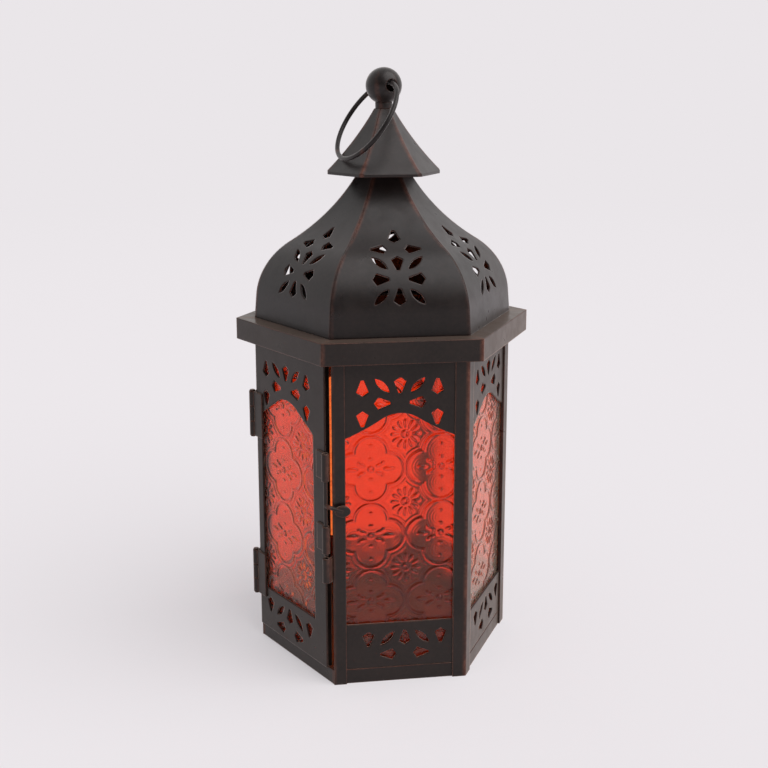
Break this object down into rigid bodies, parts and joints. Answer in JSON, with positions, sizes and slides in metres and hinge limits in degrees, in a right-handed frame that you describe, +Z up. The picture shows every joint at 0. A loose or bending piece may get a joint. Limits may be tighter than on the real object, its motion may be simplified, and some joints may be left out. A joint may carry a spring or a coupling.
{
  "type": "ramadan fanous lantern",
  "caption": "Six-sided pierced metal candle lantern with red pressed-glass panes, hinged door with slide bolt, ogee dome, ball finial and carry ring.",
  "frame": {"origin": "middle of the flat base, on the surface that the lantern stands on", "axes": "+Z up the lantern's axis, -Y out of the door, +X to the right of someone facing the door"},
  "size_m": [0.1414, 0.1224, 0.2793],
  "materials": {
    "antique_metal": "antique black, rubbed to copper brown along edges and seams",
    "red_glass": "red pressed glass with a floral relief"
  },
  "bodies": {
    "lantern": {"base_tray": "antique_metal", "hinge_post": "antique_metal", "latch_post": "antique_metal", "corner_post_1": "antique_metal", "corner_post_2": "antique_metal", "corner_post_3": "antique_metal", "corner_post_4": "antique_metal", "side_panel_1": "antique_metal", "side_panel_2": "antique_metal", "side_panel_3": "antique_metal", "side_panel_4": "antique_metal", "side_panel_5": "antique_metal", "side_glass_1": "red_glass", "side_glass_2": "red_glass", "side_glass_3": "red_glass", "side_glass_4": "red_glass", "side_glass_5": "red_glass", "door_header": "antique_metal", "cornice": "antique_metal", "dome_gore_1": "antique_metal", "dome_gore_2": "antique_metal", "dome_gore_3": "antique_metal", "dome_gore_4": "antique_metal", "dome_gore_5": "antique_metal", "dome_gore_6": "antique_metal", "crown_plate": "antique_metal", "stem_washer": "antique_metal", "stem_nut": "antique_metal", "finial_stem": "antique_metal", "roof_cap": "antique_metal", "finial_neck": "antique_metal", "finial_ball": "antique_metal", "candle_cup": "antique_metal", "hinge_post_leaf_upper": "antique_metal", "hinge_post_leaf_lower": "antique_metal", "hinge_pin_upper": "antique_metal", "hinge_pin_lower": "antique_metal", "bolt_keeper": "antique_metal"},
    "door_leaf": {"door_panel": "antique_metal", "door_glass": "red_glass", "hinge_door_leaf_upper": "antique_metal", "hinge_door_leaf_lower": "antique_metal", "bolt_guide_upper": "antique_metal", "bolt_guide_lower": "antique_metal"},
    "bolt": {"latch_bolt": "antique_metal"},
    "ring": {"carry_ring": "antique_metal"}
  },
  "joints": [
    {"name": "door_swing", "type": "hinge", "parent": "lantern", "child": "door_leaf", "pos_m": [-0.0317, -0.05559, 0.0797], "axis": [0, 0, -1], "range_deg": [0, 165]},
    {"name": "bolt_slide", "type": "slide", "parent": "door_leaf", "child": "bolt", "axis": [0, 0, 1], "range_m": [-0.0085, 0.0103]},
    {"name": "ring_swing", "type": "hinge", "parent": "lantern", "child": "ring", "pos_m": [0, 0, 0.27084], "axis": [-0.9848, 0.1736, 0], "range_deg": [0, 292]}
  ]
}
